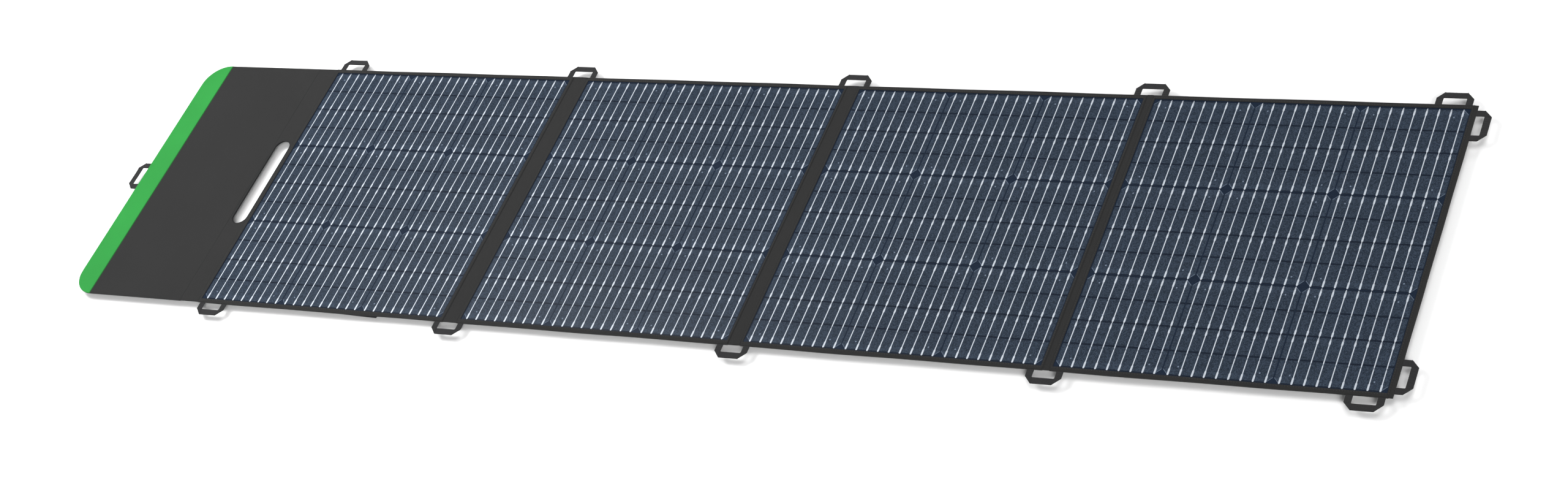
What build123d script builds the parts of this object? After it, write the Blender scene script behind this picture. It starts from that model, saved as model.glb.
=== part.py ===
from build123d import *
import math
import os

# Folding solar blanket: four cell panels joined by fabric fold strips, with a closing flap.
# +X runs along the open blanket from the flap to the free end, +Y across it, +Z is the sunny side.
# The origin is on the ground under the middle of the open blanket.  Millimetres.

# ---- driving dimensions ------------------------------------------------------------------
CELL = 166.0               # side of one pseudo-square cell
CELL_GAP = 2.0             # gap between neighbouring cells
CELLS_ACROSS = 3           # cells along each side of a panel
CELL_CHAMFER = 9.0         # cut corner of a cell
RIBBONS_PER_CELL = 9
RIBBON_WIDTH = 1.4
FOLD_GAPS = (42.0, 32.0, 22.0)      # between the cell fields of neighbouring panels
FOLD_INSETS = (7.6, 5.5, 6.0)       # fold line to cell field, at each fold
HEM_FOLD_INSET = 4.5       # cell field of the last panel to the fold line of its end hem
FREE_END_MARGIN = 11.1     # cell field of the last panel to the free end
SPINE_INSET = 8.3          # cell field of the first panel to the spine's fold line
SPINE_WIDTH = 37.0
BLANKET_WIDTH = 520.0
WINDOW_MARGIN = 1.5        # cell field to the edge of the border fabric
BOARD_MARGIN = 4.0         # cell field to the edge of the backing board
FLAP_EDGE_FROM_CELLS = 299.0        # first cell field to the flap's outer edge
GREEN_BAND_WIDTH = 47.6
FLAP_CORNER_RADIUS = 46.0
STIFFENER_INSET = 2.0      # flap outline to its stiffener

STAND_OFF = 12.0           # ground to the panels' back
PANEL_THICKNESS = 3.4
COVER = 0.6                # back cover fabric
BOARD = 1.4
CELL_THICKNESS = 0.2
RIBBON_THICKNESS = 0.2
FILM = 0.3
EDGE_HEM = 2.0             # border fabric turned down at the long edges
STRIP_THICKNESS = 1.0      # fold strip, two fabrics with the leads between
LEAD_THICKNESS = 0.2
LEAD_WIDTH = 10.0
LEAD_SPREAD = 215.0        # middle line to each lead
SPINE_THICKNESS = 2.4
HEM_THICKNESS = 2.4
BAND_THICKNESS = 0.35
HINGE_GAP = 0.3            # fold line to the strip beside it
PANEL_END_GAP = 0.9        # fold line to the panel beside it
SPINE_END_GAP = 1.6        # fold line to the parts beside the spine

WEBBING_WIDTH = 11.0
WEBBING_THICKNESS = 1.2
LOOP_OPENING = 36.0
LOOP_REACH = 24.0          # edge of the blanket to the far side of a loop
LOOP_MITRE = 12.0
LOOP_ROOT = 3.4            # webbing held between the fabrics
ROOT_TAPE = 1.5            # edge tape of a loop that bridges a fold
CORNER_LOOP_INSET = 27.8   # cell field's end to the middle of the corner loops
END_LOOP_OFFSETS = (222.0, -224.0)
FLAP_LOOP_OFFSET = -1.5

SLOT_LENGTH = 183.0
SLOT_WIDTH = 30.0
SLOT_CENTRE = 26.8         # first cell field to the slot's middle line
SLOT_BINDING = 2.0

HANDLE_WIDTH = 18.0
HANDLE_THICKNESS = 2.5
HANDLE_HALF = 80.0         # middle to each end
HANDLE_PAD = 20.0          # stitched end pad
HANDLE_RAMP = 26.0

KICKSTAND_WIDTH = 244.0
KICKSTAND_THICKNESS = 2.6
KICKSTAND_HINGE_Y = -18.0
KICKSTAND_LOW_Y = -258.0
KICKSTAND_SKEW = (4.5, -3.0)        # how far its lower corners stray from square

POCKET_WIDTH = 244.0
POCKET_LOW_Y = 34.0
POCKET_HIGH_Y = 224.0
POCKET_WALL = 1.2
ZIP_HEIGHT = 3.4
SLIDER = (9.0, 5.0, 5.0)
PULL = (4.0, 16.0, 1.4)
SLIDER_DROP = 1.0          # slider below the middle of the zip tape
ZIP_TRAVEL = 200.0

BOX_SIZE = (96.0, 62.0, 10.0)       # junction box outside
BOX_WALL = 1.8
BOX_LID = 1.6
BOX_Y = 180.0
GLAND_RADIUS = 3.6
GLAND_BORE = 2.6
GLAND_LENGTH = 16.0
GLAND_HEIGHT = 4.2         # outlet axis from the lid side of the box
DIODE_RADIUS = 1.9
DIODE_LENGTH = 12.0
DIODE_SINK = 0.3           # diode let into its board
DIODE_BOARD = 1.2

MAGNETS = 4
MAGNET_RADIUS = 9.0
MAGNET_THICKNESS = 1.2
MAGNET_CLEARANCE = 0.2
MAGNET_PITCH = 130.0
MAGNET_FROM_EDGE = 24.0

# ---- places worked out from them -----------------------------------------------------------
FIELD = CELLS_ACROSS * (CELL + CELL_GAP) - CELL_GAP
HALF_WIDTH = BLANKET_WIDTH / 2
LOOP_WIDTH = LOOP_OPENING + 2 * WEBBING_WIDTH
Z_BACK = STAND_OFF
Z_MID = STAND_OFF + PANEL_THICKNESS / 2
Z_TOP = STAND_OFF + PANEL_THICKNESS

# Left end of each cell field, counted from the first one.
field_starts = [0.0]
for fold_gap in FOLD_GAPS:
    field_starts.append(field_starts[-1] + FIELD + fold_gap)
open_left = -FLAP_EDGE_FROM_CELLS - LOOP_REACH
open_right = field_starts[-1] + FIELD + FREE_END_MARGIN + LOOP_REACH
ORIGIN_SHIFT = -(open_left + open_right) / 2
field_starts = [start + ORIGIN_SHIFT for start in field_starts]
FREE_END = field_starts[-1] + FIELD + FREE_END_MARGIN
HEM_FOLD = field_starts[-1] + FIELD + HEM_FOLD_INSET
SPINE_FOLD = field_starts[0] - SPINE_INSET
FLAP_FOLD = SPINE_FOLD - SPINE_WIDTH
FLAP_EDGE = field_starts[0] - FLAP_EDGE_FROM_CELLS
SLOT_X = field_starts[0] - SLOT_CENTRE
# Fold lines on both sides of each strip.
fold_lines = []
for i in range(len(FOLD_GAPS)):
    left_line = field_starts[i] + FIELD + FOLD_INSETS[i]
    right_line = field_starts[i + 1] - FOLD_INSETS[i]
    fold_lines.append((left_line, right_line))

parts = {}


def block(x0, x1, y0, y1, z0, z1):
    """A box between two corners."""
    size = Box(x1 - x0, y1 - y0, z1 - z0)
    return Pos((x0 + x1) / 2, (y0 + y1) / 2, (z0 + z1) / 2) * size


def prism(points, z0, z1):
    """An upright prism on an outline of (x, y) points."""
    face = make_face(Polyline(*points, close=True))
    return Pos(0, 0, z0) * extrude(face, z1 - z0)


def store(node, *pieces):
    """Keep the solids of all pieces as one node."""
    solids = []
    for piece in pieces:
        solids.extend(piece.solids())
    parts[node] = solids[0] if len(solids) == 1 else Compound(solids)


# ---- webbing loops ---------------------------------------------------------------------------
def loop_points(half_width, reach, mitre):
    """Outline of a loop that stands on the line y = 0 and points to +Y."""
    return [
        (-half_width, 0),
        (half_width, 0),
        (half_width, reach - mitre),
        (half_width - mitre, reach),
        (mitre - half_width, reach),
        (-half_width, reach - mitre),
    ]


def webbing_loop(root, tape):
    """Flat webbing loop, its legs reaching root below the edge, or joined by an edge tape."""
    z0 = Z_MID - WEBBING_THICKNESS / 2
    z1 = Z_MID + WEBBING_THICKNESS / 2
    body = prism(loop_points(LOOP_WIDTH / 2, LOOP_REACH, LOOP_MITRE), z0, z1)
    if root > 0:
        body += block(-LOOP_WIDTH / 2, LOOP_WIDTH / 2, -root, 0, z0, z1)
    inside = LOOP_REACH - WEBBING_WIDTH
    body -= block(-LOOP_OPENING / 2, LOOP_OPENING / 2, tape - root, inside, z0 - 1, z1 + 1)
    return body


sewn_loop = webbing_loop(LOOP_ROOT, 0.0)
bridge_loop = webbing_loop(0.0, ROOT_TAPE)
# A bridging loop stands just clear of the two panels and touches only its strip.
bridge_clear = block(-LOOP_WIDTH, LOOP_WIDTH, -1, HINGE_GAP, 0, Z_TOP)


def edge_pair(loop, x):
    """The loop at the far edge and at the near edge."""
    far = Pos(x, HALF_WIDTH, 0) * loop
    near = Pos(x, -HALF_WIDTH, 0) * Rot(0, 0, 180) * loop
    return far, near


first_loops = edge_pair(sewn_loop, field_starts[0] + CORNER_LOOP_INSET)
last_loops = edge_pair(sewn_loop, field_starts[-1] + FIELD - CORNER_LOOP_INSET)
end_loops = [Pos(FREE_END, y, 0) * Rot(0, 0, -90) * sewn_loop for y in END_LOOP_OFFSETS]
flap_loop = Pos(FLAP_EDGE, FLAP_LOOP_OFFSET, 0) * Rot(0, 0, 90) * sewn_loop
store("panel_1_webbing_loops", *first_loops)
store("panel_4_webbing_loops", *last_loops)
store("end_hem_webbing_loops", *end_loops)
store("flap_webbing_loop", flap_loop)


# ---- panels ----------------------------------------------------------------------------------
def cell_outline(x, y):
    """Pseudo-square outline of the cell whose lower left corner is at x, y."""
    c = CELL_CHAMFER
    s = CELL
    corners = [(c, 0), (s - c, 0), (s, c), (s, s - c), (s - c, s), (c, s), (0, s - c), (0, c)]
    return [(x + px, y + py) for px, py in corners]


def build_panel(number, left, right, sewn_in):
    """One panel between the fabric ends left and right."""
    start = field_starts[number - 1]
    name = f"panel_{number}"
    half_field = FIELD / 2
    z_board = Z_BACK + COVER
    z_cell = z_board + BOARD
    z_ribbon = z_cell + CELL_THICKNESS
    z_film = z_ribbon + RIBBON_THICKNESS
    z_border = z_film + FILM

    cells = []
    ribbons = []
    for column in range(CELLS_ACROSS):
        x = start + column * (CELL + CELL_GAP)
        for row in range(CELLS_ACROSS):
            y = row * (CELL + CELL_GAP) - half_field
            cells.append(prism(cell_outline(x, y), z_cell, z_ribbon))
        for k in range(RIBBONS_PER_CELL):
            xr = x + CELL * (k + 0.5) / RIBBONS_PER_CELL
            half = RIBBON_WIDTH / 2
            ribbons.append(block(xr - half, xr + half, -half_field, half_field, z_ribbon, z_film))
    store(f"{name}_cells", *cells)
    store(f"{name}_ribbons", *ribbons)

    m = BOARD_MARGIN
    x0 = start - m
    x1 = start + FIELD + m
    board = block(x0, x1, -half_field - m, half_field + m, z_board, z_cell)
    film = block(x0, x1, -half_field - m, half_field + m, z_film, z_border)
    if number == 2:
        for place in keeper_places():
            board -= Pos(*place) * Cylinder(MAGNET_RADIUS + MAGNET_CLEARANCE, 2 * MAGNET_THICKNESS)
    store(f"{name}_backing_board", board)
    store(f"{name}_front_film", film)

    store(f"{name}_back_cover", block(left, right, -HALF_WIDTH, HALF_WIDTH, Z_BACK, z_board))
    w = WINDOW_MARGIN
    border = block(left, right, -HALF_WIDTH, HALF_WIDTH, z_border, Z_TOP)
    hole = half_field + w
    border -= block(start - w, start + FIELD + w, -hole, hole, z_border - 1, Z_TOP + 1)
    inner = HALF_WIDTH - EDGE_HEM
    border += block(left, right, inner, HALF_WIDTH, z_board, z_border)
    border += block(left, right, -HALF_WIDTH, -inner, z_board, z_border)
    for loop in sewn_in:
        border -= loop
    store(f"{name}_front_border", border)


def keeper_places():
    """Centres of the steel discs in the back of the second panel, level with its board."""
    stack_middle = (fold_lines[0][0] + fold_lines[0][1]) / 2
    flap_span = FLAP_FOLD - (FLAP_EDGE + MAGNET_FROM_EDGE)
    over_first_panel = SPINE_FOLD + flap_span
    x = 2 * stack_middle - over_first_panel
    z = Z_BACK + COVER
    return [(x, y, z) for y in magnet_rows()]


def magnet_rows():
    """Y of each magnet, spread evenly about the middle line."""
    first = -MAGNET_PITCH * (MAGNETS - 1) / 2
    return [first + MAGNET_PITCH * k for k in range(MAGNETS)]


build_panel(1, SPINE_FOLD + SPINE_END_GAP, fold_lines[0][0] - PANEL_END_GAP, first_loops)
build_panel(2, fold_lines[0][1] + PANEL_END_GAP, fold_lines[1][0] - PANEL_END_GAP, [])
build_panel(3, fold_lines[1][1] + PANEL_END_GAP, fold_lines[2][0] - PANEL_END_GAP, [])
build_panel(4, fold_lines[2][1] + PANEL_END_GAP, HEM_FOLD - HINGE_GAP, last_loops)

keepers = []
for keeper_x, keeper_y, keeper_z in keeper_places():
    disc = Cylinder(MAGNET_RADIUS, MAGNET_THICKNESS)
    keepers.append(Pos(keeper_x, keeper_y, keeper_z + MAGNET_THICKNESS / 2) * disc)
store("panel_2_magnet_keepers", *keepers)


# ---- fold strips -----------------------------------------------------------------------------
def build_fold(label, left_line, right_line):
    """Two fabrics and the flat leads between them, with the two bridging loops."""
    x0 = left_line + HINGE_GAP
    x1 = right_line - HINGE_GAP
    outer = STRIP_THICKNESS / 2
    inner = LEAD_THICKNESS / 2
    front = block(x0, x1, -HALF_WIDTH, HALF_WIDTH, Z_MID + inner, Z_MID + outer)
    back = block(x0, x1, -HALF_WIDTH, HALF_WIDTH, Z_MID - outer, Z_MID - inner)
    leads = []
    for y in (-LEAD_SPREAD, LEAD_SPREAD):
        y0 = y - LEAD_WIDTH / 2
        leads.append(block(x0, x1, y0, y0 + LEAD_WIDTH, Z_MID - inner, Z_MID + inner))
    store(f"fold_{label}_front_fabric", front)
    store(f"fold_{label}_back_fabric", back)
    store(f"fold_{label}_flat_leads", *leads)
    # The edge tape touches the strip and keeps clear of the panels on both sides.
    touching = block(-(x1 - x0) / 2, (x1 - x0) / 2, 0, ROOT_TAPE, Z_MID - outer, Z_MID + outer)
    loop = (bridge_loop - bridge_clear) + touching
    store(f"fold_{label}_webbing_loops", *edge_pair(loop, (x0 + x1) / 2))


for fold_label, lines in zip(("12", "23", "34"), fold_lines):
    build_fold(fold_label, *lines)

# ---- end hem ---------------------------------------------------------------------------------
# The hem turns in over the cells about a line just above the panel's face.
HEM_AXIS_Z = Z_TOP + HINGE_GAP
half_hem = HEM_THICKNESS / 2
hem = block(HEM_FOLD + HINGE_GAP, FREE_END, -HALF_WIDTH, HALF_WIDTH, Z_MID - half_hem, Z_MID + half_hem)
for end_loop in end_loops:
    hem -= end_loop
store("end_hem_fabric", hem)

# ---- spine with the carry slot ---------------------------------------------------------------
spine_left = FLAP_FOLD + HINGE_GAP
spine_right = SPINE_FOLD - HINGE_GAP
half_spine = SPINE_THICKNESS / 2


def slot_prism(grow, z0, z1):
    """The carry slot's shape, grown by a margin all round."""
    outline = SlotOverall(SLOT_LENGTH + 2 * grow, SLOT_WIDTH + 2 * grow, rotation=90)
    return Pos(SLOT_X, 0, z0) * extrude(outline, z1 - z0)


z_low = Z_MID - half_spine
z_high = Z_MID + half_spine
slot_cut = slot_prism(SLOT_BINDING, z_low - 1, z_high + 1)
spine_front = block(spine_left, spine_right, -HALF_WIDTH, HALF_WIDTH, Z_MID, z_high)
spine_back = block(spine_left, spine_right, -HALF_WIDTH, HALF_WIDTH, z_low, Z_MID)
store("spine_front_cover", spine_front - slot_cut)
store("spine_back_cover", spine_back - slot_cut)
binding = slot_prism(SLOT_BINDING, z_low, z_high) - slot_prism(0, z_low - 1, z_high + 1)
store("spine_slot_binding", binding)

# ---- flap ------------------------------------------------------------------------------------
FLAP_START = FLAP_FOLD - SPINE_END_GAP


def flap_slab(z0, z1, inset=0.0):
    """The flap's outline, rounded at its two outer corners."""
    r = FLAP_CORNER_RADIUS - inset
    half = HALF_WIDTH - inset
    slab = block(FLAP_EDGE + inset, FLAP_START - inset, -half, half, z0, z1)
    corners = slab.edges().filter_by(Axis.Z).group_by(Axis.X)[0]
    return fillet(corners, r)


z_flap_board = Z_BACK + COVER
z_flap_front = Z_TOP - COVER - BAND_THICKNESS
z_flap_top = Z_TOP - BAND_THICKNESS
seam = FLAP_EDGE + GREEN_BAND_WIDTH
store("flap_back_cover", flap_slab(Z_BACK, z_flap_board))
store("flap_front_cover", flap_slab(z_flap_front, z_flap_top))
band = flap_slab(z_flap_top, Z_TOP)
band -= block(seam, FLAP_FOLD, -HALF_WIDTH, HALF_WIDTH, z_flap_top - 1, Z_TOP + 1)
store("flap_green_band", band)
stiffener = flap_slab(z_flap_board, z_flap_front, STIFFENER_INSET) - flap_loop
for row in magnet_rows():
    recess = Cylinder(MAGNET_RADIUS + MAGNET_CLEARANCE, 2 * PANEL_THICKNESS)
    stiffener -= Pos(FLAP_EDGE + MAGNET_FROM_EDGE, row, Z_MID) * recess
store("flap_stiffener", stiffener)
magnet_z = z_flap_board + MAGNET_THICKNESS / 2
magnets = []
for row in magnet_rows():
    disc = Cylinder(MAGNET_RADIUS, MAGNET_THICKNESS)
    magnets.append(Pos(FLAP_EDGE + MAGNET_FROM_EDGE, row, magnet_z) * disc)
store("flap_magnets", *magnets)

# ---- carry handle behind the middle fold -----------------------------------------------------
handle_x = (fold_lines[1][0] + fold_lines[1][1]) / 2
handle_top = Z_MID - STRIP_THICKNESS / 2
pad_end = HANDLE_HALF - HANDLE_PAD
ramp_end = pad_end - HANDLE_RAMP
slant = math.atan2(handle_top - HANDLE_THICKNESS, HANDLE_RAMP)
corner = HANDLE_THICKNESS * math.tan(slant / 2)
upper_side = [
    (HANDLE_HALF, handle_top),
    (pad_end, handle_top),
    (ramp_end, HANDLE_THICKNESS),
]
lower_side = [
    (ramp_end + corner, 0),
    (pad_end + corner, handle_top - HANDLE_THICKNESS),
    (HANDLE_HALF, handle_top - HANDLE_THICKNESS),
]
profile = upper_side + [(-y, z) for y, z in reversed(upper_side)]
profile += [(-y, z) for y, z in reversed(lower_side)] + lower_side
handle_wire = Polyline(*[(0, y, z) for y, z in profile], close=True)
handle = extrude(make_face(handle_wire), HANDLE_WIDTH, dir=(1, 0, 0))
store("carry_handle", Pos(handle_x - HANDLE_WIDTH / 2, 0, 0) * handle)


# ---- kickstands ------------------------------------------------------------------------------
def build_kickstand(number, skew):
    """Fabric-covered board on the back of a panel, hinged along its rounded upper edge."""
    middle = field_starts[number - 1] + FIELD / 2
    x0 = middle - KICKSTAND_WIDTH / 2
    x1 = middle + KICKSTAND_WIDTH / 2
    z1 = Z_BACK - HINGE_GAP
    z0 = z1 - KICKSTAND_THICKNESS
    outline = [
        (x0, KICKSTAND_HINGE_Y),
        (x1, KICKSTAND_HINGE_Y),
        (x1, KICKSTAND_LOW_Y + skew[1]),
        (x0, KICKSTAND_LOW_Y + skew[0]),
    ]
    leaf = prism(outline, z0, z1)
    roll = Rot(0, 90, 0) * Cylinder(KICKSTAND_THICKNESS / 2, KICKSTAND_WIDTH)
    leaf += Pos(middle, KICKSTAND_HINGE_Y, (z0 + z1) / 2) * roll
    store(f"kickstand_{number}_board", leaf)


build_kickstand(1, KICKSTAND_SKEW)
build_kickstand(4, (0.0, 0.0))

# ---- pocket, zip and junction box behind the first panel -------------------------------------
pocket_middle = field_starts[0] + FIELD / 2
px0 = pocket_middle - POCKET_WIDTH / 2
px1 = pocket_middle + POCKET_WIDTH / 2
pouch = block(px0, px1, POCKET_LOW_Y, POCKET_HIGH_Y, 0, Z_BACK)
pouch -= block(
    px0 + POCKET_WALL,
    px1 - POCKET_WALL,
    POCKET_LOW_Y - 1,
    POCKET_HIGH_Y - POCKET_WALL,
    POCKET_WALL,
    Z_BACK + 1,
)
store("pocket_pouch", pouch)
zip_z = Z_BACK - ZIP_HEIGHT / 2
zip_front = POCKET_LOW_Y - POCKET_WALL
store("pocket_zip", block(px0, px1, zip_front, POCKET_LOW_Y, Z_BACK - ZIP_HEIGHT, Z_BACK))
slider_x = px0 + SLIDER[0] + POCKET_WALL
slider_y = zip_front - HINGE_GAP - SLIDER[1] / 2
slider = Pos(slider_x, slider_y, zip_z - SLIDER_DROP) * Box(*SLIDER)
pull_y = slider_y - SLIDER[1] / 2 - PULL[1] / 2
slider += Pos(slider_x, pull_y, zip_z - SLIDER_DROP) * Box(*PULL)
store("zip_slider_puller", slider)

bx, by, bz = BOX_SIZE
box_top = Z_BACK
case = Pos(pocket_middle, BOX_Y, box_top - bz / 2) * Box(bx, by, bz)
cavity = Box(bx - 2 * BOX_WALL, by - 2 * BOX_WALL, bz)
case -= Pos(pocket_middle, BOX_Y, box_top - bz / 2 - BOX_WALL) * cavity
lid_z = box_top - bz + BOX_LID / 2
lid = Pos(pocket_middle, BOX_Y, lid_z) * Box(bx - 2 * BOX_WALL, by - 2 * BOX_WALL, BOX_LID)
gland_z = box_top - bz + GLAND_HEIGHT
box_front = BOX_Y - by / 2
gland_axis = Rot(90, 0, 0)
case -= Pos(pocket_middle, box_front, gland_z) * gland_axis * Cylinder(GLAND_BORE, 3 * BOX_WALL)
store("junction_box_case", case)
store("junction_box_lid", lid)
gland = Cylinder(GLAND_RADIUS, GLAND_LENGTH - BOX_WALL) - Cylinder(GLAND_BORE, GLAND_LENGTH)
gland_y = box_front - (GLAND_LENGTH - BOX_WALL) / 2
store("cable_outlet_gland", Pos(pocket_middle, gland_y, gland_z) * gland_axis * gland)
board_z = box_top - BOX_WALL - DIODE_BOARD / 2
diodes = Pos(pocket_middle, BOX_Y, board_z) * Box(bx - 4 * BOX_WALL, by - 4 * BOX_WALL, DIODE_BOARD)
for k in (-1, 0, 1):
    diode = Rot(90, 0, 0) * Cylinder(DIODE_RADIUS, DIODE_LENGTH)
    diode_z = board_z - DIODE_BOARD / 2 - DIODE_RADIUS + DIODE_SINK
    diodes += Pos(pocket_middle + k * bx / 4, BOX_Y, diode_z) * diode
store("junction_diode_board", diodes)

# ---- output ----------------------------------------------------------------------------------
os.makedirs("parts", exist_ok=True)
for node, shape in parts.items():
    export_step(shape, f"parts/{node}.step")
print(len(parts), "nodes, origin shift", round(ORIGIN_SHIFT, 2))
print("fold lines", [(round(a, 2), round(b, 2)) for a, b in fold_lines])
print("spine", round(FLAP_FOLD, 2), round(SPINE_FOLD, 2), "hem", round(HEM_FOLD, 2), round(FREE_END, 2))
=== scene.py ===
import math
from collections import namedtuple

import bmesh
import bpy
import numpy as np
from mathutils import Matrix, Vector


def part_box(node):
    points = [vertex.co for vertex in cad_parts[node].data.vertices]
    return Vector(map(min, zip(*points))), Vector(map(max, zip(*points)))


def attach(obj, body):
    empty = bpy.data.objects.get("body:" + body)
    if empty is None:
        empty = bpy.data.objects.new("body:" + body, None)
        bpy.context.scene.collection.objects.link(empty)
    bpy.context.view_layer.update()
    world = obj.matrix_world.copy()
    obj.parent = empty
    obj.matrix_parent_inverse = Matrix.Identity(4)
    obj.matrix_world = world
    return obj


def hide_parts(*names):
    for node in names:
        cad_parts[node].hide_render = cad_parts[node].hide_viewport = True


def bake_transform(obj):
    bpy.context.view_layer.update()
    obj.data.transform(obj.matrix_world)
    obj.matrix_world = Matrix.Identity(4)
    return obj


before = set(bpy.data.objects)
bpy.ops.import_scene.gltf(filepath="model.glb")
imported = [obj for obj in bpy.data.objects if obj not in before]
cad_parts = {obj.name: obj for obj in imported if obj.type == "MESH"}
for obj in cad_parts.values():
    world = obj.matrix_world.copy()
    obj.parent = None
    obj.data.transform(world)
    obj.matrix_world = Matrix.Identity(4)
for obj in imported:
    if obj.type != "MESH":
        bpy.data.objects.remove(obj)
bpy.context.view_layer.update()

# Lengths in this file are millimetres in the row frame, turned to metres as meshes are made.
MM = 0.001
PANELS = (1, 2, 3, 4)
STAND_PANELS = (1, 4)
FOLDS = (("12", 1, 2), ("23", 2, 3), ("34", 3, 4))


def span(node):
    """Lowest and highest corner of a CAD node as x0, y0, z0, x1, y1, z1."""
    low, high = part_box(node)
    return [c / MM for c in (*low, *high)]


# ---- camera and light ----
LENS = 61.038
SENSOR = 36.0
SHIFT_X = -0.2117
CAMERA_AT = Vector((2.3710, -2.1462, 2.8636))
FORWARD = Vector((-0.42207, 0.54205, -0.72666)).normalized()
ROLL = math.radians(26.243)
WORLD_STRENGTH = 0.3


def new(blocks, name, *kind, **settings):
    """A new data block, such as a light, with its settings."""
    block = blocks.new(name, *kind)
    for key, value in settings.items():
        setattr(block, key, value)
    return block


def link(name, data):
    """A new object of the scene."""
    obj = bpy.data.objects.new(name, data)
    bpy.context.scene.collection.objects.link(obj)
    return obj


def photo_camera():
    """The camera as fitted to the photo: a shifted lens, rolled about its line of sight."""
    level_right = FORWARD.cross(Vector((0, 0, 1))).normalized()
    level_up = level_right.cross(FORWARD)
    right = level_right * math.cos(ROLL) - level_up * math.sin(ROLL)
    up = level_up * math.cos(ROLL) + level_right * math.sin(ROLL)
    lens = dict(lens=LENS, sensor_width=SENSOR, sensor_fit="HORIZONTAL", shift_x=SHIFT_X, clip_end=50.0)
    camera = link("camera", new(bpy.data.cameras, "camera", **lens))
    turn = Matrix((right, up, -FORWARD)).transposed()
    camera.matrix_world = Matrix.Translation(CAMERA_AT) @ turn.to_4x4()
    bpy.context.scene.camera = camera
    bpy.context.scene.view_settings.view_transform = "Standard"


def studio_world():
    """Even white light from all round."""
    world = new(bpy.data.worlds, "studio", use_nodes=True)
    background = world.node_tree.nodes["Background"]
    background.inputs["Color"].default_value = (1.0, 1.0, 1.0, 1.0)
    background.inputs["Strength"].default_value = WORLD_STRENGTH
    bpy.context.scene.world = world


def softbox(name, at, aim, size, power):
    """A square soft light at a point in metres, turned to another point."""
    lamp = link(name, new(bpy.data.lights, name, "AREA", shape="SQUARE", size=size, energy=power))
    lamp.location = at
    lamp.rotation_euler = (Vector(aim) - Vector(at)).to_track_quat("-Z", "Y").to_euler()


def studio_sun(name, towards, strength, softness):
    """Even soft light over the whole floor, from a direction given as a vector up to it."""
    lamp = link(name, new(bpy.data.lights, name, "SUN", energy=strength, angle=math.radians(softness)))
    lamp.rotation_euler = Vector(towards).to_track_quat("Z", "Y").to_euler()


photo_camera()
studio_world()
studio_sun("top_light", (0.2, 0.15, 1.0), 1.0, 35.0)
studio_sun("back_light", (0.1, 0.85, 0.55), 0.5, 14.0)
studio_sun("camera_side_light", (0.6, -0.56, 0.62), 2.1, 24.0)
softbox("left_softbox", (-1.9, 0.5, 2.6), (-0.9, 0.0, 0.0), 1.2, 64.0)


# ---- material nodes ----
# Sockets of the colour mix node: factor, the two colours, and the result.
MIX_INPUTS = (0, 6, 7)
MIX_OUTPUT = 2


class Paint:
    """A material with a Principled shader, and short calls to wire its nodes."""

    def __init__(self, name, **settings):
        self.material = bpy.data.materials.new(name)
        self.material.use_nodes = True
        self.tree = self.material.node_tree
        self.shader = self.tree.nodes["Principled BSDF"]
        for socket, value in settings.items():
            self.shader.inputs[socket.replace("_", " ")].default_value = value

    def feed(self, socket, value):
        if isinstance(value, bpy.types.NodeSocket):
            self.tree.links.new(value, socket)
        else:
            socket.default_value = value

    def node(self, kind, *values, **settings):
        """A node with its settings, its first inputs fed with the values."""
        node = new(self.tree.nodes, kind, **settings)
        for socket, value in zip(node.inputs, values):
            self.feed(socket, value)
        return node

    def math(self, operation, a, b=0.0, c=0.0):
        return self.node("ShaderNodeMath", a, b, c, operation=operation).outputs[0]

    def total(self, base, *parts):
        """Base plus each value times its weight."""
        for value, weight in parts:
            base = self.math("MULTIPLY_ADD", value, weight, base)
        return base

    def ramp(self, value, low, high, start=0.0, end=1.0):
        """Smooth step of value from low to high, as start to end."""
        steps = dict(interpolation_type="SMOOTHSTEP")
        return self.node("ShaderNodeMapRange", value, low, high, start, end, **steps).outputs[0]

    def mix(self, factor, a, b, kind="MIX"):
        """Colour a blended towards b."""
        node = self.node("ShaderNodeMix", data_type="RGBA", blend_type=kind)
        for k, value in zip(MIX_INPUTS, (factor, a, b)):
            self.feed(node.inputs[k], value)
        return node.outputs[MIX_OUTPUT]

    def scaled(self, colour, factor):
        """Colour times a factor."""
        grey = self.node("ShaderNodeCombineColor", factor, factor, factor)
        return self.mix(1.0, colour, grey.outputs[0], "MULTIPLY")

    def noise(self, vector, scale, detail=2.0):
        node = self.node("ShaderNodeTexNoise", vector)
        node.inputs["Scale"].default_value = scale
        node.inputs["Detail"].default_value = detail
        return node.outputs["Fac"]

    def place(self, output="Object"):
        """Coordinates in millimetres: the vector in metres, and x, y, z."""
        source = self.node("ShaderNodeTexCoord").outputs[output]
        parts = self.node("ShaderNodeSeparateXYZ", source)
        return [source] + [self.math("DIVIDE", s, MM) for s in parts.outputs]

    def wave(self, value, pitch):
        """Sine of a length in millimetres with that pitch."""
        return self.math("SINE", self.math("MULTIPLY", value, math.tau / pitch))

    def finish(self, colour, height, depth, rough=None):
        """Wires colour, bump of a depth in millimetres and roughness to the shader."""
        self.feed(self.shader.inputs["Base Color"], colour)
        if rough is not None:
            self.feed(self.shader.inputs["Roughness"], rough)
        bump = self.node("ShaderNodeBump", 1.0, depth * MM)
        self.feed(bump.inputs["Height"], height)
        self.feed(self.shader.inputs["Normal"], bump.outputs[0])
        return self.material


def rgb(red, green, blue):
    """Linear colour of an sRGB one in 0 to 255."""
    shares = [c / 255 for c in (red, green, blue)]
    return (*(((c + 0.055) / 1.055) ** 2.4 if c > 0.04 else c / 12.92 for c in shares), 1.0)


ROUGHNESS = 0.86
THREAD_JITTER = 4.0


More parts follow.
